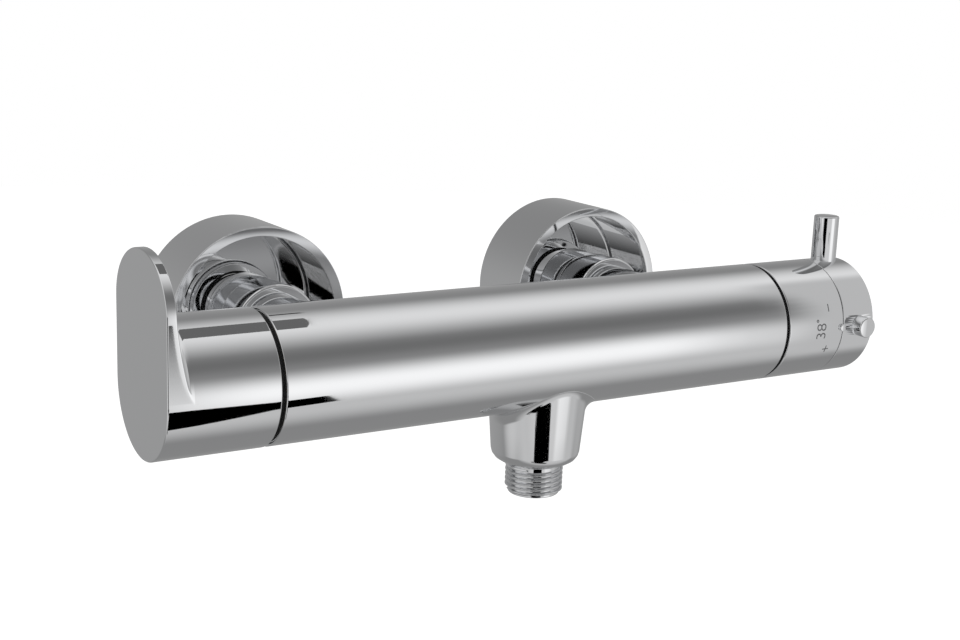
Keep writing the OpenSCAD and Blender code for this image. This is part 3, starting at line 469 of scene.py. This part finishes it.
# Outlet nipple: a threaded brass nipple, plated with the body, screwed up into the boss. The
# shower hose is screwed on its G 1/2 thread, a helical ridge that fades out at both ends.
half_inch_r = 10.478
thread_depth = 1.16
thread_pitch = 1.814
thread_sections = 96
ridge_foot_share, ridge_crest_share = 0.46, 0.12
ridge_sunk = 0.1
fade_spare, fade_share = 0.2, 0.4


def cut_thread(bm, base, along, first, last):
    """Adds the ridge of the thread, drawn once and carried round while it moves along"""
    root_r = half_inch_r - thread_depth
    turns = (last - first) / thread_pitch
    steps = round(turns * thread_sections)
    ridge = bmesh.new()
    foot, crest = ridge_foot_share * thread_pitch, ridge_crest_share * thread_pitch
    draw_outline(ridge, [
        (first - foot, root_r - ridge_sunk, 0), (first - crest, half_inch_r, 0),
        (first + crest, half_inch_r, 0), (first + foot, root_r - ridge_sunk, 0)], base, along)
    bmesh.ops.spin(ridge, geom=ridge.verts[:] + ridge.edges[:], axis=along, cent=base,
                   angle=turns * math.tau, steps=steps,
                   dvec=along * thread_pitch / thread_sections)
    bmesh.ops.holes_fill(ridge, edges=ridge.edges, sides=4)
    bmesh.ops.recalc_face_normals(ridge, faces=ridge.faces)
    for vert in ridge.verts:
        place = (vert.co - base).dot(along)
        out = vert.co - base - along * place
        inside = min(place - first + fade_spare, last - place + fade_spare)
        fade = min(1, max(0, inside / (fade_share * thread_pitch)))
        height = (out.length - root_r + ridge_sunk) * fade
        vert.co = base + along * place + out.normalized() * (root_r - ridge_sunk + height)
    joined = bpy.data.meshes.new("thread_ridge")
    ridge.to_mesh(joined)
    ridge.free()
    bm.from_mesh(joined)
    bpy.data.meshes.remove(joined)


turned_chrome = chrome("turned_chrome", 0.04, 0.004)
nipple_low, nipple_high = span("outlet_nipple")
nipple_end = -nipple_low.z
nipple_top = -nipple_high.z
hose_root_r = half_inch_r - thread_depth / 2
nipple_neck_r = 10.19
thread_root_r = half_inch_r - thread_depth
run_in = 0.9
run_in_slope = 0.5
neck_step = 0.2
thread_end_share = 0.6
nipple = turned([
    (nipple_top, hose_root_r, 0), (boss_end - neck_step, hose_root_r, 0),
    (boss_end - neck_step, nipple_neck_r, 0), (boss_end + run_in, nipple_neck_r, 0.2),
    (boss_end + run_in + run_in_slope, thread_root_r, 0), (nipple_end, thread_root_r, 0.4),
    (nipple_end, hose_way_r, 0.3), (nipple_top, hose_way_r, 0)], centre, -up)
cut_thread(nipple, centre, -up, boss_end + run_in + thread_pitch / 2,
           nipple_end - thread_end_share * thread_pitch)
metal_piece("hose_nipple", nipple, turned_chrome, "valve_body", "chrome", "outlet_nipple")


# Flow handle: a zinc casting, polished bright and plated. It is the left end of the bar, and a
# flat paddle with a half round top that rises from its end face. The back of the paddle is
# scooped thin, and a fillet leads it into the round part.
def drill(piece, start, end, radius):
    """Drills a round hole from start to end, in millimetres"""
    bm = bmesh.new()
    bmesh.ops.create_cone(bm, cap_ends=True, segments=48, radius1=radius, radius2=radius,
                          depth=(end - start).length)
    tilt = (end - start).to_track_quat("Z", "X").to_matrix().to_4x4()
    bmesh.ops.transform(bm, matrix=Matrix.Translation((start + end) / 2) @ tilt, verts=bm.verts)
    cutter = add_object("drill", bm, piece.data.materials[0])
    hole = piece.modifiers.new("hole", "BOOLEAN")
    hole.operation = "DIFFERENCE"
    hole.solver = "EXACT"
    hole.object = cutter
    whole = bpy.data.meshes.new_from_object(
        piece.evaluated_get(bpy.context.evaluated_depsgraph_get()))
    piece.modifiers.remove(hole)
    piece.data = whole
    bpy.data.objects.remove(cutter)


def smooth_max(first, second, blend):
    return (first + second + math.sqrt((first - second) ** 2 + blend ** 2)) / 2


handle_low, handle_high = span("flow_handle")
handle_face = handle_low.x
handle_seat = handle_high.x
paddle_top = handle_high.z
paddle_crown = 18
paddle_shoulder = paddle_top - paddle_crown
paddle_tip = 2.1
scoop_r = 170
paddle_fillet = 5.5
face_rounding = 0.5
back_rounding = 0.45
pocket_r = bar_r - 2.8
pocket_depth = 29
paddle_root_gain = 1
skin_blend = 0.25
shade_length = 8
fillet_start = handle_face + paddle_tip + paddle_root_gain + paddle_fillet
shade_end = fillet_start + shade_length


def paddle_reach(angle):
    """How far the outline lies from the axis, at an angle from straight up"""
    side, climb = abs(math.sin(angle)), math.cos(angle)
    if climb <= 0:
        return bar_r
    if side * paddle_shoulder >= climb * bar_r:
        return bar_r / side
    grow = (climb / paddle_crown) ** 2 + (side / bar_r) ** 2
    half = climb * paddle_shoulder / paddle_crown ** 2
    rest = (paddle_shoulder / paddle_crown) ** 2 - 1
    return (half + math.sqrt(half ** 2 - grow * rest)) / grow


def paddle_back(radius, angle):
    """Where the back of the paddle lies along the bar, at a place on it"""
    scoop_x = handle_face + paddle_tip + scoop_r
    height = radius * math.cos(angle) - paddle_top
    scoop = scoop_x - math.sqrt(scoop_r ** 2 - height ** 2)
    drop = max(0, bar_r + paddle_fillet - radius)
    fillet = fillet_start - math.sqrt(max(0, paddle_fillet ** 2 - drop ** 2))
    return min(fillet_start, smooth_max(scoop, fillet, skin_blend))


handle_rows = 24
edge_rows = 4
thin_edge_share = 0.4


def handle_point(row, angle):
    """Place along the bar and radius of a point of the skin, for a row from rim to shade end"""
    reach = paddle_reach(angle)
    corner = paddle_back(reach, angle)
    rim = Vector((corner - min(back_rounding, thin_edge_share * (corner - handle_face)), reach))
    flank = reach - bar_r

    def back_at(share):
        radius = reach - flank * share
        return Vector((paddle_back(radius, angle) if share < 1 else fillet_start, radius))

    first = min(1, back_rounding / (flank + back_rounding))
    inner = back_at(first)
    if row <= edge_rows:
        share = row / edge_rows
        return (rim * (1 - share) ** 2 + Vector((corner, reach)) * 2 * share * (1 - share)
                + inner * share ** 2)
    share = (row - edge_rows) / handle_rows
    return back_at(first + (1 - first) * math.sin(share * math.pi / 2))


bm = bmesh.new()
row_layer = bm.verts.layers.float.new("skin_row")
last = draw_outline(bm, [
    (shade_end, bar_r, 0), (handle_seat, bar_r, spot_face), (handle_seat, pocket_r, 0),
    (handle_seat - pocket_depth, pocket_r, 1), (handle_seat - pocket_depth, 0, 0)], centre, east)
skin_rows = handle_rows + edge_rows + 1
rounding_rows = 5
face_rows = 3
face_ring_r = 6
row_gap = 0.01
for step in range(skin_rows + rounding_rows + face_rows):
    vert = bm.verts.new(last.co - east * row_gap)
    vert[row_layer] = step + 1
    bm.edges.new((last, vert))
    last = vert
pole = bm.verts.new(centre + east * handle_face)
bm.edges.new((last, pole))
bmesh.ops.spin(bm, geom=bm.verts[:] + bm.edges[:], axis=east, cent=centre,
               angle=math.tau, steps=turn_steps, use_merge=True)
for vert in bm.verts:
    step = round(vert[row_layer])
    if not step:
        continue
    around = vert.co - centre
    around.x = 0
    around.normalize()
    angle = math.atan2(around.y, around.z)
    if step <= skin_rows:
        place, radius = handle_point(skin_rows - step, angle)
    elif step <= skin_rows + rounding_rows:
        share = (step - skin_rows - 1) / (rounding_rows - 1) * math.pi / 2
        radius = paddle_reach(angle) - face_rounding * (1 - math.cos(share))
        place = handle_face + face_rounding * (1 - math.sin(share))
    else:
        share = (step - skin_rows - rounding_rows) / (face_rows + 1)
        radius = (paddle_reach(angle) - face_rounding) * (1 - share) + face_ring_r * share
        place = handle_face
    vert.co = centre + east * place + around * radius
bmesh.ops.remove_doubles(bm, verts=bm.verts, dist=weld_gap)
bmesh.ops.recalc_face_normals(bm, faces=bm.faces)
grub_low, grub_high = span("handle_grub_screw")
grub_place = centre + east * (grub_low.x + grub_high.x) / 2
grub_slip = 0.05
grub_hole_r = (grub_high.x - grub_low.x) / 2 + grub_slip
grub_hole_end = 9
drill_start = bar_r + 2
metal_piece("handle", bm, turned_chrome, "flow_handle", "chrome", "flow_handle",
            holes=[(grub_place - up * drill_start, grub_place - up * grub_hole_end, grub_hole_r)])


# Temperature side: the scale ring is a plated sleeve on a plastic carrier, fixed to the body.
# The dial's figures are printed on it in thin grey enamel, read from the front with the bar
# turned upright, and the signs show which way is warmer.
ring_inner_r = pocket_r
ring = turned([(ring_low.x, bar_r, spot_face), (ring_high.x, bar_r, 0.2),
               (ring_high.x, ring_inner_r, 0), (ring_low.x, ring_inner_r, 0)], centre, east)
metal_piece("dial_ring", ring, turned_chrome, "valve_body", "chrome", "scale_ring")

print_height = 0.03
print_thickness = 0.05
figure_size = 6.9
figure_thinning = -0.012
slice_width = 0.4
# Each mark: the text or the sign, its middle along the bar, and its angle round the bar
figures = (("3", 115.4, -6.2), ("8", 115.4, 2.5), ("ring", 113.3, 9.0),
           ("-", 119.3, 21.1), ("+", 119.6, -21.3))
sign_length = 3.0
stroke = 0.42
degree_r = 0.6
degree_stroke = 0.35
degree_segments = 40
ink_dark, ink_light = (0.085, 0.085, 0.088, 1), (0.14, 0.14, 0.145, 1)
colour_result = 2
enamel, tone = new_material("dial_enamel")
place = tone.node("ShaderNodeTexCoord", output="Object")
mottle = tone.node("ShaderNodeTexNoise", None, {"Vector": place, "Scale": 900, "Detail": 2})
ink = tone.node("ShaderNodeMix", {"data_type": "RGBA"}, {
    "Factor": mottle, "A": ink_dark, "B": ink_light}, colour_result)
coat = tone.node("ShaderNodeBsdfPrincipled", None, {"Base Color": ink, "Roughness": 0.45})
tone.node("ShaderNodeOutputMaterial", None, {"Surface": coat})


def flat_figure(text):
    """One figure or sign, flat and centred, in millimetres"""
    bm = bmesh.new()
    if text.isdigit():
        line = bpy.data.curves.new("figure", "FONT")
        line.body = text
        line.size = figure_size
        line.offset = figure_thinning * figure_size
        letters = bpy.data.objects.new("figure", line)
        bm.from_mesh(letters.to_mesh())
        letters.to_mesh_clear()
        bpy.data.objects.remove(letters)
        for axis in range(2):
            places = [vert.co[axis] for vert in bm.verts]
            middle = (min(places) + max(places)) / 2
            for vert in bm.verts:
                vert.co[axis] -= middle
    elif text == "ring":
        for radius in (degree_r, degree_r - degree_stroke):
            bmesh.ops.create_circle(bm, segments=degree_segments, radius=radius)
        bmesh.ops.bridge_loops(bm, edges=bm.edges[:])
    else:
        for turned_round in range(2 if text == "+" else 1):
            size = (stroke, sign_length) if turned_round else (sign_length, stroke)
            made = bmesh.ops.create_grid(bm, x_segments=1, y_segments=1, size=0.5)["verts"]
            bmesh.ops.scale(bm, verts=made, vec=(*size, 1))
    return bm


printing = bmesh.new()
for text, along_bar, turn_round in figures:
    bm = flat_figure(text)
    reach = math.ceil(figure_size / slice_width)
    for step in range(-reach, reach + 1):
        bmesh.ops.bisect_plane(bm, geom=bm.verts[:] + bm.edges[:] + bm.faces[:],
                               plane_co=(step * slice_width, 0, 0), plane_no=(1, 0, 0))
    for vert in bm.verts:
        angle = math.radians(turn_round) + vert.co.x / bar_r
        out = Vector((0, -math.cos(angle), math.sin(angle)))
        vert.co = centre + east * (along_bar - vert.co.y) + out * (bar_r + print_height)
    for face in bm.faces:
        face.normal_update()
        if face.normal.dot(face.calc_center_median() - centre) < 0:
            face.normal_flip()
    flat = bpy.data.meshes.new("flat_figure")
    bm.to_mesh(flat)
    bm.free()
    printing.from_mesh(flat)
    bpy.data.meshes.remove(flat)
dial_figures = add_object("dial_figures", printing, enamel)
thickness = dial_figures.modifiers.new("enamel_thickness", "SOLIDIFY")
thickness.thickness = print_thickness * mm
thickness.offset = -1
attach(dial_figures, "valve_body")


# Temperature cap: a plated cap on the splined hub. It carries a lever pin on top, the button
# that lets it pass 38 degrees, and a small bead at its edge that points at the dial.
cap_low, cap_high = span("temperature_cap")
pin_low, pin_high = span("pin_lever")
pin_x = (pin_low.x + pin_high.x) / 2
pin_r = (pin_high.x - pin_low.x) / 2
pin_rounding = 0.5
cap_end_t = 2
cap_wall_end = cap_high.x - cap_end_t
button_r = 4
button_slip = 0.1
cap_grub_low, cap_grub_high = span("cap_grub_screw")
cap_grub_place = centre + east * (cap_grub_low.x + cap_grub_high.x) / 2
cap_grub_r = (cap_grub_high.x - cap_grub_low.x) / 2 + grub_slip
cap = turned([(cap_low.x, bar_r, 0.2), (cap_high.x, bar_r, spot_face), (cap_high.x, 0, 0),
              (cap_wall_end, 0, 0), (cap_wall_end, pocket_r, 0), (cap_low.x, pocket_r, 0)],
             centre, east)
metal_piece("dial_cap", cap, turned_chrome, "temperature_cap", "chrome", "temperature_cap",
            holes=[(centre + east * pin_x - back * drill_start, centre + east * pin_x,
                    button_r + button_slip),
                   (cap_grub_place + back * drill_start, cap_grub_place, cap_grub_r)])
pin = turned([(bar_r - sunk, 0, 0), (bar_r - sunk, pin_r, 0), (pin_high.z, pin_r, pin_rounding),
              (pin_high.z, 0, 0)], centre + east * pin_x, up)
metal_piece("lever_pin", pin, turned_chrome, "temperature_cap", "chrome", "pin_lever")

button_low, button_high = span("stop_button")
button_rounding = 0.5
button_flange_r = (button_high.z - button_low.z) / 2
button_face = bar_y - button_low.y
flange_t, flange_setback = 1.3, 1
flange_low = bar_y - button_high.y + flange_setback
flange_high = flange_low + flange_t
button = turned([(flange_low, 0, 0), (flange_low, button_flange_r, 0),
                 (flange_high, button_flange_r, 0), (flange_high, button_r, 0),
                 (button_face, button_r, button_rounding), (button_face, 0, 0)],
                centre + east * pin_x, -back)
metal_piece("release_button", button, turned_chrome, "stop_button", "chrome", "stop_button")

bead_low, bead_high = span("index_dot")
bead_r = (bead_high.x - bead_low.x) / 2
bead_face = bar_y - bead_low.y
bead_sunk = 0.2
bead = turned([(bar_r - bead_sunk, 0, 0), (bar_r - bead_sunk, bead_r, 0),
               (bead_face, bead_r, 0.3), (bead_face, 0, 0)],
              centre + east * (bead_low.x + bead_high.x) / 2, -back)
metal_piece("pointer_bead", bead, turned_chrome, "temperature_cap", "chrome", "index_dot")


# Inlets: on each neck a union nut draws the wall union against a flanged brass nipple. The
# unions are turned brass, plated, with a fine line where the wrench shoulder meets the taper.
for side, base in inlets.items():
    nut_low, nut_high = span("union_nut_" + side)
    nut_front, nut_back = nut_low.y - bar_y, nut_high.y - bar_y
    nut_r, nut_back_r, nut_lip = nut_high.z, 15.7, 3.2
    union_r = 13.3
    nut = turned([(nut_front, nut_r, 1), (nut_back, nut_back_r, 0.4), (nut_back, union_r, 0),
                  (nut_front + nut_lip, union_r, 0), (nut_front + nut_lip, nipple_r, 0),
                  (nut_front, nipple_r, 0.3)], base, back)
    metal_piece("nut_" + side, nut, turned_chrome, "union_nut_" + side, "chrome",
                "union_nut_" + side)

    union_low, union_high = span("wall_union_" + side)
    union_front, union_end = union_low.y - bar_y, union_high.y - bar_y
    nut_gap, shoulder_length, taper_length, thread_setback = 0.3, 12.3, 10, 1.5
    shoulder_front = nut_back + nut_gap
    shoulder_end = shoulder_front + shoulder_length
    union_front_r, shoulder_r, line_width, line_depth = 13.2, union_high.z, 0.4, 0.5
    taper_end = shoulder_end + line_width + taper_length
    tail_r = 13
    thread_front = -bar_y - thread_setback
    thread_foot = thread_front + run_in
    strainer_r, strainer_depth, bore_r = 8.6, 7, 7.5
    strainer_seat = union_front + strainer_depth
    union = turned([
        (union_front, union_front_r, 0.4), (shoulder_front, union_front_r, 0),
        (shoulder_front, shoulder_r, 0.2), (shoulder_end, shoulder_r, 0),
        (shoulder_end, shoulder_r - line_depth, 0),
        (shoulder_end + line_width, shoulder_r - line_depth, 0),
        (shoulder_end + line_width, shoulder_r, 0.1), (taper_end, tail_r, 0),
        (thread_front, tail_r, 0.3), (thread_front, nipple_neck_r, 0),
        (thread_foot, nipple_neck_r, 0.2), (thread_foot + run_in_slope, thread_root_r, 0),
        (union_end, thread_root_r, 0.7), (union_end, bore_r, 0.3),
        (strainer_seat, bore_r, 0), (strainer_seat, strainer_r, 0),
        (union_front, strainer_r, 0)], base, back)
    cut_thread(union, base, back, thread_foot + thread_pitch / 2, union_end - thread_pitch)
    metal_piece("union_" + side, union, turned_chrome, "valve_body", "chrome",
                "wall_union_" + side)


# Escutcheons: deep cups of spun brass sheet, plated, that slide on the unions' tails against
# the wall. Each is open behind, and a collar in its floor holds a rubber ring on the tail.
for side, base in inlets.items():
    cup_low, cup_high = span("escutcheon_" + side)
    cup_front, cup_wall = cup_low.y - bar_y, cup_high.y - bar_y
    cup_r = -cup_low.z
    cup_t, cup_floor_t = 2.8, 3.5
    cup_inner_r = cup_r - cup_t
    cup_floor = cup_wall - cup_floor_t
    collar_r, collar_wall, collar_height, tail_hole_r = 17.3, 1.9, 4, 13.3
    rim_width, rim_depth, rim_taper = 3.7, 1.6, 1.2
    collar_lip, collar_lip_r = 0.8, 14.1
    collar_front = cup_floor - collar_height
    cup = turned([
        (cup_wall, cup_r, 0.2), (cup_front, cup_r, 0.35),
        (cup_front, cup_r - rim_width, 0.4), (cup_front + rim_depth, cup_r - rim_width, 0.6),
        (cup_front + rim_depth + rim_taper, cup_inner_r, 0.6), (cup_floor, cup_inner_r, 1.2),
        (cup_floor, collar_r, 0.6), (collar_front, collar_r, 0.4),
        (collar_front, collar_lip_r, 0.2), (collar_front + collar_lip, collar_lip_r, 0),
        (collar_front + collar_lip, collar_r - collar_wall, 0),
        (cup_floor, collar_r - collar_wall, 0), (cup_floor, tail_hole_r, 0),
        (cup_wall, tail_hole_r, 0)], base, back)
    metal_piece("cup_" + side, cup, turned_chrome, "escutcheon_" + side, "chrome",
                "escutcheon_" + side)


# Inside pieces: what the plated shells hide. Turned brass cores and spindles, moulded plastic
# carriers, cages and stops, rubber rings, ceramic discs and bright steel springs and screws.
# They keep their shapes and their material's finish; the groove rings' near black is painted shade.
def mixed(name, dark, light, roughness, grain, metallic=0.0):
    """A plain finish whose colour and gloss vary a little over the piece"""
    material, tone = new_material(name)
    place = tone.node("ShaderNodeTexCoord", output="Object")
    cloud = tone.node("ShaderNodeTexNoise", None, {"Vector": place, "Scale": grain, "Detail": 4})
    tint = tone.node("ShaderNodeMix", {"data_type": "RGBA"}, {
        "Factor": cloud, "A": (*dark, 1), "B": (*light, 1)}, colour_result)
    skin = tone.node("ShaderNodeBsdfPrincipled", None, {
        "Base Color": tint, "Roughness": roughness * (0.85 + 0.3 * cloud), "Metallic": metallic})
    tone.node("ShaderNodeOutputMaterial", None, {"Surface": skin})
    return material


finishes = {
    "chrome": turned_chrome,
    "brass": mixed("machined_brass", (0.62, 0.44, 0.20), (0.74, 0.56, 0.29), 0.24, 260, 1.0),
    "rubber": mixed("seal_rubber", (0.012, 0.012, 0.012), (0.024, 0.024, 0.025), 0.62, 500),
    # black plastic, made near black as painted shade, so the rings in the grooves read as their
    # shadow
    "black_plastic": mixed("shadow_black", (0.003, 0.003, 0.003), (0.007, 0.007, 0.007), 0.55, 400),
    "grey_plastic": mixed("grey_acetal", (0.30, 0.31, 0.32), (0.40, 0.41, 0.42), 0.42, 300),
    "red_plastic": mixed("red_acetal", (0.42, 0.03, 0.025), (0.55, 0.05, 0.04), 0.40, 300),
    "white_plastic": mixed("white_acetal", (0.70, 0.70, 0.68), (0.82, 0.82, 0.80), 0.38, 300),
    "ceramic": mixed("lapped_ceramic", (0.78, 0.76, 0.71), (0.88, 0.86, 0.82), 0.16, 220),
    "steel": mixed("bright_steel", (0.52, 0.52, 0.53), (0.64, 0.64, 0.65), 0.22, 350, 1.0),
}
plated_brass = mixed("plated_brass", (0.66, 0.665, 0.67), (0.76, 0.765, 0.77), 0.16, 200, 1.0)
for part in frame["record"]["subparts"]:
    node = frame["nodes"][part["node"]]
    finish = finishes[part["material_slot"]]
    if part["node"].startswith("inlet_nipple"):
        finish = plated_brass
    node.data.materials.clear()
    node.data.materials.append(finish)
